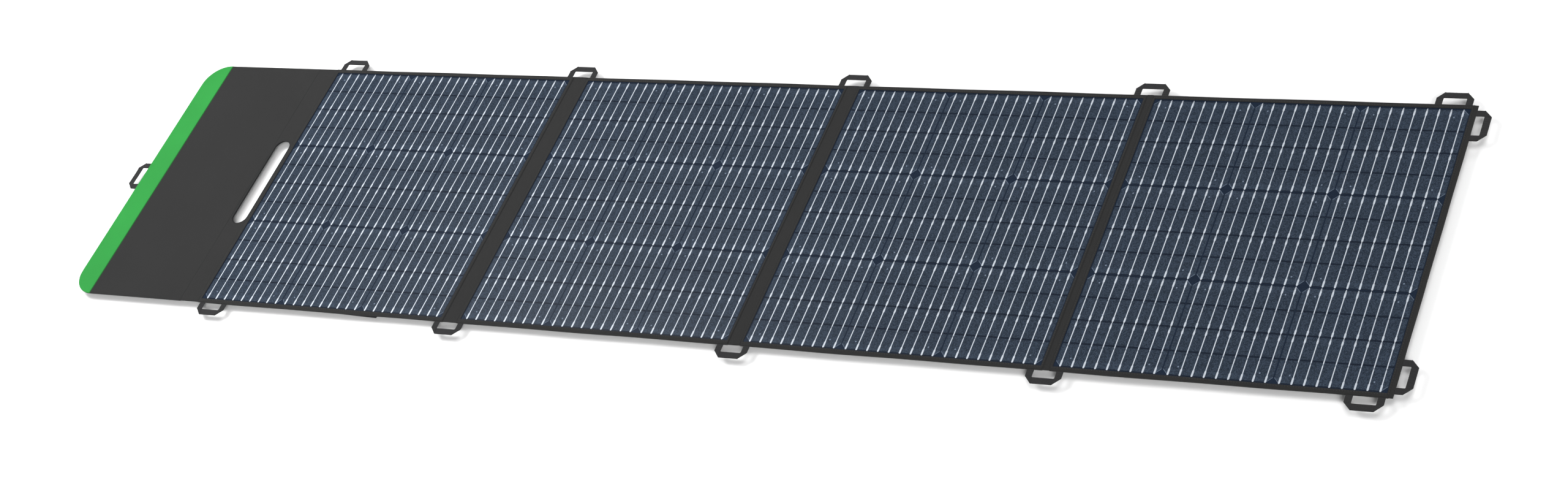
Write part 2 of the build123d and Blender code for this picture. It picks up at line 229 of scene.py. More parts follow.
def cloth(name, colour, pitch=0.9, contrast=0.16, seam=None):
    """Woven polyester: two thread directions, slubs, faint cloudy wear, a sheen, and painted shade along a
    seam where one is given.
    """
    p = Paint(name, Roughness=ROUGHNESS, Sheen_Weight=0.05, Sheen_Roughness=0.5, Specular_IOR_Level=0.14)
    vector, u, v, _ = p.place("UV")
    slub = p.noise(vector, 900.0)
    # The slubs push the threads about, so that the weave makes no moire.
    warp = p.wave(p.total(u, (slub, THREAD_JITTER)), pitch)
    weft = p.wave(p.total(v, (slub, -THREAD_JITTER)), pitch)
    weave = p.math("MULTIPLY", warp, weft)
    cloud = p.noise(vector, 9.0, 4.0)
    shade = p.scaled(colour, p.total(0.72, (weave, contrast), (slub, 0.28), (cloud, 0.28)))
    if seam is not None:
        # Painted shade: a dark line where the fabric goes into its seam.
        painted_seam_shade = p.math("MULTIPLY", p.ramp(u, seam - 2.0, seam - 1.3), 0.62)
        shade = p.mix(painted_seam_shade, shade, (*(c * 0.12 for c in colour[:3]), 1.0))
    return p.finish(shade, p.total(weave, (slub, 0.6)), 0.09, p.total(ROUGHNESS - 0.06, (cloud, 0.12)))


def strap(name, colour, rib=1.7):
    """Webbing: ribs across the strap, with painted highlight on their crests and painted shade between
    them, and a fine twill.  U runs along it.
    """
    p = Paint(name, Roughness=0.8, Sheen_Weight=0.06, Specular_IOR_Level=0.15)
    vector, u, v, _ = p.place("UV")
    ribs = p.wave(u, rib)
    threads = p.math("MULTIPLY", p.wave(v, 0.7), p.wave(u, rib / 2))
    grain = p.noise(vector, 700.0)
    # The ribs add painted highlight at their crests and painted shade in the troughs between them.
    tone = p.total(0.7, (ribs, 0.22), (threads, 0.08), (grain, 0.6))
    return p.finish(p.scaled(colour, tone), p.total(ribs, (threads, 0.3)), 0.22)


def solid(name, colour, grain=500.0, amount=0.3, depth=0.05, **settings):
    """Plastic, metal or board with a mottled grain in colour, gloss and height."""
    p = Paint(name, **settings)
    vector = p.place()[0]
    fine = p.noise(vector, grain, 3.0)
    broad = p.noise(vector, grain / 20, 2.0)
    tone = p.total(1.0 - amount, (fine, amount), (broad, amount))
    gloss = p.total(settings["Roughness"] - 0.08, (fine, 0.16))
    return p.finish(p.scaled(colour, tone), fine, depth, gloss)


CELL = 166.0
CELL_PITCH = 168.0
CHAMFER = 9.0
CROSS_LINES = 4
CELL_DOTS = (61.7, 68.0)
LONE_DOT = (-38.0, 12.0)


def cell_paint(number, x0, y0):
    """Solar cells under embossed film: fingers, cut lines, edge lines, dots, a tone for each cell."""
    p = Paint(f"cell_{number}", Specular_IOR_Level=0.04)
    vector, x, y, _ = p.place()
    along = p.math("SUBTRACT", x, x0)
    across = p.math("SUBTRACT", y, y0)
    column, row = (p.math("FLOOR", p.math("DIVIDE", s, CELL_PITCH)) for s in (along, across))
    in_cell = (p.math("FLOORED_MODULO", s, CELL_PITCH) for s in (along, across))
    cx, cy = (p.math("SUBTRACT", s, CELL / 2) for s in in_cell)
    ax, ay = (p.math("ABSOLUTE", s) for s in (cx, cy))
    # Fingers run across the ribbons.
    finger = p.ramp(p.wave(y, 1.6), 0.6, 1.0)
    emboss = p.math("MULTIPLY", p.wave(x, 3.0), p.wave(y, 3.0))
    speckle = p.ramp(p.noise(vector, 520.0, 3.0), 0.36, 0.64)
    # The rim of a cell is paler than its middle, and each cell has its own slight tone.
    rim_y, rim_x = p.ramp(ay, 70.0, 74.0), p.ramp(ax, 74.0, 77.0)
    own = p.math("SINE", p.total(p.math("MULTIPLY", column, 1.3), (row, 3.7), (1.0, float(number))))
    tone = p.total(
        0.42, (finger, 0.14), (emboss, 0.2), (speckle, 0.82), (rim_y, 0.16), (rim_x, 0.1), (own, 0.025)
    )
    colour = p.scaled(CELL_COLOUR, tone)
    # Cut lines at the quarters.
    step = CELL / CROSS_LINES
    to_line = p.math("FLOORED_MODULO", p.math("ADD", cy, CELL / 2 + step / 2), step)
    to_line = p.math("ABSOLUTE", p.math("SUBTRACT", to_line, step / 2))
    colour = p.mix(p.ramp(to_line, 1.9, 1.0), colour, CUT_COLOUR)
    # A pale line along each cut corner and a dark one along each side.
    to_corner = p.math("SUBTRACT", CELL - CHAMFER, p.math("ADD", ax, ay))
    colour = p.mix(p.ramp(to_corner, 1.5, 0.5, 0.0, 0.4), colour, EDGE_COLOUR)
    colour = p.mix(p.ramp(ax, CELL / 2 - 0.7, CELL / 2 - 0.2, 0.0, 0.5), colour, CUT_COLOUR)
    # Small pale marks.
    for centre, px, py in ((CELL_DOTS, ax, ay), (LONE_DOT, cx, cy)):
        dx = p.math("SUBTRACT", px, centre[0])
        dy = p.math("SUBTRACT", py, centre[1])
        away = p.math("SQRT", p.total(0.0, (dx, dx), (dy, dy)))
        colour = p.mix(p.ramp(away, 1.7, 0.7, 0.0, 0.6), colour, EDGE_COLOUR)
    return p.finish(colour, p.math("ADD", emboss, speckle), 0.12, p.total(0.32, (speckle, 0.2)))


FABRIC_COLOUR = rgb(38, 38, 38)
CELL_COLOUR = rgb(47, 56, 68)
CUT_COLOUR = rgb(8, 14, 26)
EDGE_COLOUR = rgb(150, 165, 185)
NAVY = rgb(13, 24, 40)
GREEN = rgb(42, 142, 60)

front_cloth = cloth("front_fabric", FABRIC_COLOUR)
back_cloth = cloth("back_fabric", rgb(38, 38, 39), pitch=1.1)
stand_cloth = cloth("kickstand_fabric", rgb(34, 34, 36), pitch=1.0)
tape_cloth = cloth("binding_tape", rgb(26, 26, 27), pitch=0.6)
thread = strap("sewing_thread", rgb(62, 62, 62), rib=0.6)
webbing = strap("webbing", rgb(40, 40, 41))
handle_webbing = strap("handle_webbing", rgb(40, 40, 41), rib=2.0)
zip_cloth = cloth("zip_tape", rgb(32, 32, 33), pitch=0.6)
ribbon_metal = solid("ribbon", rgb(204, 211, 220), grain=900.0, amount=0.1, Metallic=0.15, Roughness=0.45)
zip_metal = solid("zip_metal", rgb(60, 60, 62), Metallic=0.8, Roughness=0.35)
film_paint = solid("clear_film", rgb(60, 75, 95), grain=620.0, depth=0.12, Alpha=0.07, Roughness=0.25)
board_paint = solid("backing_board", NAVY, grain=700.0, Roughness=0.6, Specular_IOR_Level=0.04)
steel = solid("magnet_steel", rgb(170, 172, 175), Metallic=1.0, Roughness=0.35)
copper = solid("copper_lead", rgb(200, 130, 90), Metallic=1.0, Roughness=0.3)
circuit = solid("circuit", rgb(25, 85, 50), grain=250.0, amount=0.6, Roughness=0.4)
plastic = solid("black_plastic", rgb(28, 28, 30), grain=900.0, depth=0.08, Roughness=0.55)


# ---- mesh making ----
SHARP_ANGLE = math.radians(40.0)
# Places in a piece's list of materials.
THREAD = 1
TAPE = 2


class Shape:
    """Vertices, faces, UV and material numbers collected for one piece."""

    def __init__(self):
        self.verts = []
        self.uvs = []
        self.faces = []
        self.marks = []
        self.count = 0

    def add(self, verts, faces, uv=None, mark=0):
        verts = np.asarray(verts, float).reshape(-1, 3)
        self.verts.append(verts)
        self.uvs.append(np.full((len(verts), 2), np.nan) if uv is None else np.asarray(uv).reshape(-1, 2))
        self.faces.extend(tuple(i + self.count for i in face) for face in faces)
        self.marks.extend([mark] * len(faces))
        self.count += len(verts)
        return self

    def place(self, x, y, angle):
        """Everything so far, turned about Z and moved."""
        c, s = math.cos(angle), math.sin(angle)
        turned = np.array([[c, s, 0], [-s, c, 0], [0, 0, 1]])
        self.verts = [v @ turned + np.array([x, y, 0]) for v in self.verts]
        return self

    def piece(self, name, slot, materials):
        """The mesh as a scene object, with its UV in metres.  Its slot is not used."""
        mesh = bpy.data.meshes.new(name)
        verts = np.concatenate(self.verts)
        uv = np.concatenate(self.uvs)
        mesh.from_pydata((verts * MM).tolist(), [], self.faces)
        for material in materials:
            mesh.materials.append(material)
        mesh.polygons.foreach_set("material_index", self.marks)
        work = bmesh.new()
        work.from_mesh(mesh)
        bmesh.ops.recalc_face_normals(work, faces=work.faces)
        work.to_mesh(mesh)
        work.free()
        layer = mesh.uv_layers.new(name="rest")
        # Where no UV is given, each face takes the two axes it lies along.
        normals = np.array([face.normal[:] for face in mesh.polygons])
        sizes = [face.loop_total for face in mesh.polygons]
        corner = [loop.vertex_index for loop in mesh.loops]
        lies = np.repeat(np.argmax(np.abs(normals), 1), sizes)
        pairs = np.array([(1, 2), (0, 2), (0, 1)])[lies]
        flat = np.take_along_axis(verts[corner], pairs, 1)
        flat = np.where(np.isnan(uv[corner]), flat, uv[corner])
        layer.data.foreach_set("uv", (flat * MM).ravel())
        mesh.polygons.foreach_set("use_smooth", [True] * len(mesh.polygons))
        mesh.set_sharp_from_angle(angle=SHARP_ANGLE)
        mesh.update()
        obj = link(name, mesh)
        return obj

    def fixed(self, name, slot, materials, body, node):
        """The piece, riding on one body and standing for a CAD node."""
        obj = self.piece(name, slot, materials)
        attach(obj, body)
        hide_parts(node)
        return obj


def grid_faces(rows, cols, wrap=False, closed=False, base=0, flip=False):
    """Quads of a grid of vertices, where wrap joins its columns and closed joins its rows."""
    faces = []
    for i in range(rows if closed else rows - 1):
        below = (i + 1) % rows
        for j in range(cols if wrap else cols - 1):
            k = (j + 1) % cols
            quad = (i * cols + j, i * cols + k, below * cols + k, below * cols + j)
            quad = tuple(q + base for q in quad)
            faces.append(quad[::-1] if flip else quad)
    return faces


def stacked(x, y, z):
    """Points from their coordinates, each a number or a grid."""
    return np.stack(np.broadcast_arrays(x, y, z), -1)


def shell(shape, upper, lower, wrap=False, mark=0, uv=None):
    """Closed sheet between two grids of points."""
    rows, cols = upper.shape[:2]
    n = rows * cols
    faces = grid_faces(rows, cols, wrap) + grid_faces(rows, cols, wrap, base=n, flip=True)
    ids = np.arange(n).reshape(rows, cols)
    rims = [(ids[0], True), (ids[-1], False)]
    if wrap:
        rims = [(np.append(line, line[0]), flip) for line, flip in rims]
    else:
        rims += [(ids[:, 0], False), (ids[:, -1], True)]
    for line, flip in rims:
        line = line.tolist()
        faces += [(a, b, b + n, a + n)[:: -1 if flip else 1] for a, b in zip(line, line[1:])]
    both = None if uv is None else np.concatenate([uv.reshape(-1, 2)] * 2)
    return shape.add(np.concatenate([upper.reshape(-1, 3), lower.reshape(-1, 3)]), faces, both, mark)


def slab(shape, x, y, top, bottom, **more):
    """Closed sheet between two height fields over one grid of points."""
    return shell(shape, stacked(x, y, top), stacked(x, y, bottom), **more)


def travelled(points):
    """Distance along a line of points, at each of them."""
    steps = np.linalg.norm(np.diff(points, axis=0), axis=1)
    return np.concatenate([[0], np.cumsum(steps)])


def round_turns(count):
    """Angles in even steps once round."""
    return np.linspace(0, math.tau, count, endpoint=False)


def closed_line(points):
    return np.vstack([points, points[:1]])


STITCH_SIDES = 5
UP, DOWN = (0, 0, 1), (0, 0, -1)


def stitches(shape, points, pitch=4.2, length=3.0, radius=0.28, lift=UP):
    """Short raised stitches along a line of points."""
    points = np.asarray(points, float)
    along = travelled(points)
    count = max(1, int(along[-1] / pitch))
    lift = np.asarray(lift, float)
    start = (np.arange(count) + 0.5) * along[-1] / count - length / 2
    first, last = (
        np.stack([np.interp(at, along, points[:, axis]) for axis in range(3)], -1)
        for at in (start, start + length)
    )
    way = last - first
    side = np.cross(way / np.linalg.norm(way, axis=1, keepdims=True), lift)
    around = [(side * math.cos(a) + lift * math.sin(a)) * radius for a in round_turns(STITCH_SIDES)]
    # A point at each end, sunk into the fabric, and two rings between them.
    rings = [first - lift * radius * 0.6]
    rings += [first + way * t + out for t in (0.2, 0.8) for out in around]
    rings.append(last - lift * radius * 0.6)
    n, tip = STITCH_SIDES, 2 * STITCH_SIDES + 1
    one = []
    for j in range(n):
        k = (j + 1) % n
        one += [(0, 1 + j, 1 + k), (1 + j, 1 + n + j, 1 + n + k, 1 + k), (tip, 1 + n + k, 1 + n + j)]
    faces = [tuple(v + (tip + 1) * k for v in face) for k in range(count) for face in one]
    return shape.add(np.stack(rings, 1), faces, mark=THREAD)


def rounding(distance, radius):
    """How far a rounded edge drops at a distance inside the outline."""
    inside = np.clip(radius - np.asarray(distance, float), 0, radius)
    return radius - np.sqrt(np.maximum(radius**2 - inside**2, 0))


def edge_spaced(low, high, count, steps=(0.0, 0.15, 0.5, 1.1, 2.0, 3.5)):
    """Values from low to high, close together near both ends."""
    middle = np.linspace(low + steps[-1], high - steps[-1], count)[1:-1]
    return np.concatenate([low + np.array(steps), middle, high - np.array(steps[::-1])])


def area_under(values, at):
    """Area under a line of values, given the places where they stand."""
    return float(np.sum((values[1:] + values[:-1]) / 2 * np.diff(at)))


def smooth(t):
    """Smooth step from 0 to 1."""
    t = np.clip(t, 0, 1)
    return t * t * (3 - 2 * t)


HALF = span("panel_1_back_cover")[4]


def long_edge(x, y):
    """Moves points that lie on a sewn long edge with its waviness."""
    side = np.sign(y)
    wave = 0.28 * np.sin(x / 37.0 + side) + 0.2 * np.sin(x / 83.0 + 2.1 * side)
    return y + side * wave * smooth((np.abs(y) - HALF + 8.0) / 8.0)


def across_rows(count):
    """Rows over the whole width, count of them away from the edges."""
    return edge_spaced(-HALF, HALF, count)


# ---- panels: border, back cover, cells, ribbons ----
WINDOW_MARGIN = 1.5
BACK_SEAM = 6.5
SIDE_POINTS = 26
fields = {}
for n in PANELS:
    x0, y0, _, x1, y1, _ = span(f"panel_{n}_cells")
    fields[n] = (x0, y0, x1, y1)


def shrunk(box, dx, dy):
    """A rectangle x0, y0, x1, y1 with its sides moved inwards."""
    return box[0] + dx, box[1] + dy, box[2] - dx, box[3] - dy


def rectangle_loop(x0, y0, x1, y1):
    """The x and the y of points round a rectangle, from its lower left corner."""
    t = np.linspace(0, 1, SIDE_POINTS, endpoint=False)
    corners = ((x0, y0), (x1, y0), (x1, y1), (x0, y1), (x0, y0))
    return np.concatenate([np.outer(1 - t, a) + np.outer(t, b) for a, b in zip(corners, corners[1:])]).T


def stitches_round(shape, box, z, **style):
    """A closed row of stitches round a rectangle."""
    stitches(shape, closed_line(stacked(*rectangle_loop(*box), z)), **style)


def border(n):
    """Fabric frame round a panel's window, its long edges turned down, with a row of stitches."""
    node = f"panel_{n}_front_border"
    x0, y0, z_low, x1, y1, z_top = span(node)
    z_under = span(f"panel_{n}_front_film")[5]
    window = shrunk(fields[n], -WINDOW_MARGIN, -WINDOW_MARGIN)
    # Each ring of the frame: how far it lies from the rim, and how far it drops.
    at_window = ((0.0, 0.62), (0.08, 0.34), (0.3, 0.12), (0.7, 0.02), (1.1, 0.0))
    at_outside = ((1.9, 0.0), (1.2, 0.06), (0.6, 0.24), (0.2, 0.6), (0.0, 1.3))
    rings = []
    for inset, drop in at_window:
        xs, ys = rectangle_loop(*shrunk(window, -inset, -inset))
        rings.append((xs, ys, np.full(len(xs), z_top - drop)))
    for inset, drop in at_outside:
        # Next to the folds the frame stays flush with the skins beside it.
        xs, ys = rectangle_loop(*shrunk((x0, y0, x1, y1), inset * 0.4, inset))
        at_long_edge = smooth((np.abs(ys) - (HALF - 4.0)) / 2.0)
        rings.append((xs, long_edge(xs, ys), z_top - drop * np.maximum(at_long_edge, 0.1)))
    x, y, top = (np.array(values) for values in zip(*rings))
    bottom = np.where(np.abs(y) > HALF - 1.7, z_low + 0.2, z_under)
    top += 0.05 * np.sin(x / 9.0) * np.sin(y / 11.0)
    shape = slab(Shape(), x, y, top, np.minimum(bottom, top - 0.1), wrap=True)
    stitches_round(shape, shrunk(window, -2.4, -2.4), z_top - 0.02)
    shape.fixed(f"panel_{n}_border", "front_fabric", [front_cloth, thread], f"panel_{n}", node)


def hinge_tape(shape, n, z):
    """Tape and two rows of stitches that hold a kickstand's upper edge to the back fabric."""
    x0, _, _, x1, y1, _ = span(f"kickstand_{n}_board")
    x, y = np.meshgrid(np.linspace(x0 + 2, x1 - 2, 30), np.linspace(y1 + 1.2, y1 + 15, 6))
    slab(shape, x, y, z + 0.3, z - 0.1 + 0.05 * np.sin(x / 7.0), mark=TAPE)
    for offset in (4.0, 12.0):
        ends = [(x0 + 5, y1 + offset, z - 0.12), (x1 - 5, y1 + offset, z - 0.12)]
        stitches(shape, ends, lift=DOWN, pitch=4.0)


def back_cover(n):
    """Back fabric of a panel: edges turned up, a sewn seam inside them and slight pillowing."""
    node = f"panel_{n}_back_cover"
    x0, y0, z0, x1, y1, z1 = span(node)
    x, y = np.meshgrid(edge_spaced(x0, x1, 30), across_rows(34))
    from_x = np.minimum(x - x0, x1 - x)
    from_y = np.minimum(y - y0, y1 - y)
    seam = 0.22 * np.exp(-((np.minimum(from_x, from_y) - BACK_SEAM) / 1.3) ** 2)
    puff = 0.09 * np.sin(x / 23.0 + n) * np.sin(y / 31.0) + 0.06 * np.sin(x / 61.0 - y / 47.0)
    bottom = z0 + 0.12 + seam + puff * smooth(from_y / 20) * smooth(from_x / 20)
    bottom += rounding(from_y, 1.0) * 0.6
    shape = slab(Shape(), x, long_edge(x, y), z1 + 0.02, np.minimum(bottom, z1 - 0.1))
    seam_box = shrunk((x0, y0, x1, y1), BACK_SEAM, BACK_SEAM)
    stitches_round(shape, seam_box, z0 + 0.3, lift=DOWN, pitch=5.5, length=4.0)
    if n in STAND_PANELS:
        hinge_tape(shape, n, z0)
    materials = [back_cloth, thread, tape_cloth]
    piece = shape.fixed(f"panel_{n}_back_fabric", "back_fabric", materials, f"panel_{n}", node)


# Ribbon outline down one cell: distance from the cell's top edge and half width.  A narrow neck
# joins each length to the next.
NECK = 0.5
THIN = 0.8
PAD = 1.45
WAIST = 0.4
RIBBON_UPPER = (
    (0.0, NECK), (4.2, NECK), (5.6, PAD), (13.0, PAD), (14.2, THIN), (44.0, THIN), (44.6, WAIST),
    (46.6, WAIST), (47.2, THIN), (73.8, THIN), (75.0, PAD), (81.4, PAD), (82.6, NECK), (88.0, NECK),
)
RIBBON_LOWER = (
    (88.0, NECK), (89.9, PAD), (94.4, PAD), (95.6, THIN), (127.6, THIN), (128.2, WAIST),
    (130.4, WAIST), (131.0, THIN), (154.6, THIN), (155.8, PAD), (165.2, PAD), (166.4, NECK),
)
# A ribbon's crown: places from one side to the other, and the share of its height there.
ACROSS = np.array([-1.0, -0.5, 0.0, 0.5, 1.0])
CROWN = np.array([0.45, 0.85, 1.0, 0.85, 0.45])
# Two thin tines stand at each tip: distance from the middle line, and down from the tip.
TIPS = (1.0, 85.3)
TINE = ((0.15, 0.0), (1.25, 2.2), (0.75, 4.2))
TINE_HALF = 0.17
CELLS_ACROSS = 3
RIBBONS = 9


def ribbon(shape, x, top_y, z0, z1, sway):
    """One ribbon down one cell, in two lengths, with its tines."""
    for outline in (RIBBON_UPPER, RIBBON_LOWER):
        t, half = np.array(outline).T[:, :, None]
        middle = x + sway * np.sin(t / CELL * 3.1)
        slab(shape, middle + half * ACROSS, top_y - t, z0 + CROWN * (z1 - z0), z0)
    for tip in TIPS:
        for side in (-1, 1):
            out, down = np.array(TINE).T[:, :, None]
            edges = np.array([-TINE_HALF, TINE_HALF])
            slab(shape, x + out * side + edges, top_y - tip - down, z0 + 0.16, z0)


def ribbons(n):
    """Soldered ribbons of one panel: crowned, with wide pads, and necks over the gaps."""
    node = f"panel_{n}_ribbons"
    z0, z1 = span(node)[2], span(node)[5]
    left, _, _, far = fields[n]
    shape = Shape()
    for column in range(CELLS_ACROSS):
        for k in range(RIBBONS):
            x = left + column * CELL_PITCH + CELL * (k + 0.5) / RIBBONS
            for row in range(CELLS_ACROSS):
                sway = 0.15 * math.sin(2.3 * k + 1.7 * row + column + n)
                ribbon(shape, x, far - row * CELL_PITCH, z0, z1, sway)
    shape.fixed(f"panel_{n}_busbar_ribbons", "ribbon", [ribbon_metal], f"panel_{n}", node)


for n in PANELS:
    border(n)
    back_cover(n)
    ribbons(n)


# ---- fabric over the folds ----
Z_TOP = span("panel_1_front_border")[5]
Z_BACK = span("panel_1_back_cover")[2]
HINGE_GAP = 0.3
NEAR_SEAM = 3.0
NARROWEST_SHEET = 10.0
LEAST_AREA = 0.3
FACES = {"front": ("front_fabric", front_cloth), "back": ("back_fabric", back_cloth)}

# How a fabric strip is divided and finished.  rows are the y of its rows.  close and spread are
# shares of the way over the part near the seam and over the rest.  bend is how far past the crease
# line it bends.  round and least are its edge's radius and its least thickness.
Strip = namedtuple("Strip", "rows close spread bend round least")


def skin(name, face, strip, sewn, way, reach, heights, node):
    """Half of a fabric strip, from its sewn side to a far side.

    way is 1 where it runs towards higher x, and -1 where it runs back.  reach is its width at each
    row.  heights gives top and bottom for a distance from the sewn side and a y."""
    slot, paint = FACES[face]
    near = min(NEAR_SEAM, float(reach.min()))
    close = np.outer(np.full(len(reach), near), strip.close)
    away = np.concatenate([close, near + np.outer(reach - near, strip.spread)], 1)
    x = sewn + way * away
    y = np.repeat(strip.rows[:, None], x.shape[1], 1)
    ease = rounding(HALF - np.abs(y), strip.round)
    top, bottom = heights(away, y)
    if face == "front":
        top = top - ease
    else:
        bottom = bottom + ease
    shape = slab(Shape(), x, long_edge(x, y), np.maximum(top, bottom + strip.least), bottom)
    piece = shape.piece(name, slot, [paint])
    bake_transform(piece)
    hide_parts(node)
    width, length = float(reach.max()), 2 * HALF
    if width > NARROWEST_SHEET:
        area = area_under(reach, strip.rows)
        area = min(max(area, LEAST_AREA * width * length), width * length)


FOLD_STRIP = Strip(
    rows=across_rows(48), close=np.linspace(0, 1, 14), spread=np.linspace(0, 1, 7)[1:],
    bend=1.5, round=1.4, least=0.25,
)


def fold_skins(label, i, j):
    """Front and back fabric of one fold, each in two halves that meet at the fold's middle."""
    fold = f"fold_{label}"
    x0, _, _, x1, _, z_high = span(f"{fold}_front_fabric")
    back_low = span(f"{fold}_back_fabric")[2]
    left, right = span(f"panel_{i}_front_border")[3], span(f"panel_{j}_front_border")[0]
    middle = (x0 + x1) / 2

    def front(away, y):
        sag = (Z_TOP - z_high + 0.22) * smooth(away / 1.5)
        ripple = 0.03 * np.sin(y / 17.0 + 2.0 * i) * smooth(away / (middle - left))
        top = Z_TOP - 0.02 - sag + ripple
        return top, top - 0.4

    def back(away, y):
        sag = (back_low - Z_BACK - 0.12) * smooth(away / 1.5)
        ripple = 0.03 * np.sin(y / 19.0 + i) * smooth(away / (middle - left))
        bottom = Z_BACK + 0.1 + sag + ripple
        return bottom + 0.5, bottom

    sides = (("left", left, x0 - HINGE_GAP, i, 1), ("right", right, x1 + HINGE_GAP, j, -1))
    for side, sewn, line, panel, way in sides:
        reach = np.full(len(FOLD_STRIP.rows), abs(middle - sewn))
        for face, heights in (("front", front), ("back", back)):
            skin(
                f"{fold}_{face}_{side}", face, FOLD_STRIP, sewn, way, reach, heights,
                f"{fold}_{face}_fabric",
            )


for label, i, j in FOLDS:
    fold_skins(label, i, j)


# ---- spine with the carry slot ----
bx0, by0, bz0, bx1, by1, bz1 = span("spine_slot_binding")
slot_x = (bx0 + bx1) / 2
slot_radius = (bx1 - bx0) / 2
slot_straight = (by1 - by0) / 2 - slot_radius
BINDING = 2.0
BINDING_OVERLAP = 0.7


def slot_side(y):
    """Half width of the slot, less the binding's overlap, at a distance from the middle."""
    beyond = max(0.0, abs(y) - slot_straight)
    return math.sqrt(max(0.0, (slot_radius - BINDING_OVERLAP) ** 2 - beyond**2))


def slot_outline(inset):
    """Closed round-ended outline inside the binding's outer edge."""
    r = slot_radius - inset
    turns = np.linspace(0, math.pi, 26)
    end = np.stack([slot_x + r * np.cos(turns), slot_straight + r * np.sin(turns)], -1)
    down = np.linspace(slot_straight, -slot_straight, 17)[1:-1]
    side = np.stack([np.full(len(down), slot_x - r), down], -1)
    half = np.concatenate([end, side])
    return np.concatenate([half, (2 * slot_x, 0) - half])


def spine_rows():
    """Rows over the spine, closer together where the slot's ends curve."""
    at_end = np.linspace(slot_straight - 4, slot_straight + slot_radius + 2, 22)
    return np.unique(np.concatenate([across_rows(40), at_end, -at_end]))


SPINE_STRIP = Strip(
    rows=spine_rows(), close=np.linspace(0, 1, 12), spread=np.linspace(0.1, 1, 9),
    bend=1.6, round=1.3, least=0.2,
)


def spine_skins():
    """Front and back fabric of the spine, each in two halves that meet at the slot."""
    x0, _, z_mid, x1, _, z_high = span("spine_front_cover")
    z_low = span("spine_back_cover")[2]
    flap_end = span("flap_front_cover")[3]
    panel_start = span("panel_1_front_border")[0]
    sides = (
        ("left", flap_end, x0 - HINGE_GAP, "flap", 1, Z_TOP - 0.4),
        ("right", panel_start, x1 + HINGE_GAP, "panel_1", -1, Z_TOP - 0.05),
    )
    for side, sewn, line, body, way, level in sides:

        def front(away, y, level=level):
            groove = 0.3 * np.exp(-((away - 1.4) / 0.8) ** 2)
            return z_high + (level - z_high) * (1 - smooth(away / 2.5)) - groove, z_mid

        def back(away, y):
            return z_mid, z_low - (z_low - Z_BACK - 0.1) * (1 - smooth(away / 2.5))

        rim = np.array([slot_x - way * slot_side(y) for y in SPINE_STRIP.rows])
        for face, heights in (("front", front), ("back", back)):
            skin(
                f"spine_{face}_{side}", face, SPINE_STRIP, sewn, way, np.abs(rim - sewn), heights,
                f"spine_{face}_cover",
            )


spine_skins()


def slot_binding():
    """Bound rim of the carry slot: a rolled tape with stitches on both faces."""
    z0, z1 = bz0 - 0.05, bz1 + 0.12
    middle, high = (z0 + z1) / 2, (z1 - z0) / 2
    turns = round_turns(14)
    loops = [slot_outline(BINDING * (0.5 + 0.62 * math.cos(a))) for a in turns]
    rows, count = len(loops), len(loops[0])
    ripple = 0.04 * np.sin(0.9 * np.arange(count))
    verts = [stacked(*loop.T, middle + high * math.sin(a) + ripple) for loop, a in zip(loops, turns)]
    shape = Shape().add(verts, grid_faces(rows, count, wrap=True, closed=True))
    seam = slot_outline(BINDING * 0.45)
    for z, lift in ((z1 - 0.05, UP), (z0 + 0.05, DOWN)):
        line = closed_line(stacked(*seam.T, z))
        stitches(shape, line, pitch=3.2, length=2.3, radius=0.2, lift=lift)
    materials = [tape_cloth, thread]
    shape.fixed("carry_slot_binding", "binding_tape", materials, "spine", "spine_slot_binding")


slot_binding()


# ---- flap ----
flap_x0, _, _, flap_x1, _, flap_top = span("flap_front_cover")
seam_x, _, band_top = span("flap_green_band")[3:]
FLAP_RADIUS = 46.0
EDGE_ROUND = 1.5
BODY_COLUMNS = 36


def flap_inside(x, y):
    """Distance from the flap's outline, its sewn side aside."""
    cx, cy = flap_x0 + FLAP_RADIUS, HALF - FLAP_RADIUS
    straight = np.minimum(x - flap_x0, HALF - np.abs(y))
    corner = FLAP_RADIUS - np.hypot(cx - x, np.abs(y) - cy)
    return np.maximum(np.where((x < cx) & (np.abs(y) > cy), corner, straight), 0)


def flap_grid(x_end, columns):
    """Points over the flap from its rounded end to a line across it."""
    turns = np.linspace(0, math.pi / 2, 18)
    rounded = flap_x0 + FLAP_RADIUS * (1 - np.cos(turns))
    at_rim = flap_x0 + np.array([0.15, 0.5, 1.1])
    rest = np.linspace(flap_x0 + FLAP_RADIUS, x_end, columns)
    x = np.unique(np.concatenate([rounded, at_rim, rest]))[:, None]
    y = across_rows(44) / HALF * (HALF - rounding(x - flap_x0, FLAP_RADIUS))
    return np.broadcast_arrays(x, y)


def flap_sheet(name, node, slot, paint, x_end, columns, thick, surface, front=True):
    """One sheet of the flap: its outer surface from x and the distance inside the outline."""
    x, y = flap_grid(x_end, columns)
    inside = flap_inside(x, y)
    wrinkle = 0.06 * np.sin(x / 29.0) * np.sin(y / 37.0) + 0.04 * np.sin(x / 13.0 + y / 53.0)
    outer = surface(x, inside) + wrinkle * smooth(inside / 12)
    top, bottom = (outer, outer - thick) if front else (outer + thick, outer)
    piece = slab(Shape(), x, y, top, bottom).fixed(name, slot, [paint], "flap", node)


def band_surface(x, inside):
    """Green fabric: rolled over the outline and drawn down into its seam."""
    seam = 0.25 * np.exp(-((seam_x - x) / 0.8) ** 2)
    return band_top + 0.15 - rounding(inside, EDGE_ROUND + 0.35) - seam


def flap_back_surface(x, inside):
    """Back fabric: rolled over the outline, with a sewn ridge inside it."""
    return Z_BACK + 0.1 + rounding(inside, EDGE_ROUND) + 0.2 * np.exp(-((inside - 7.0) / 1.2) ** 2)


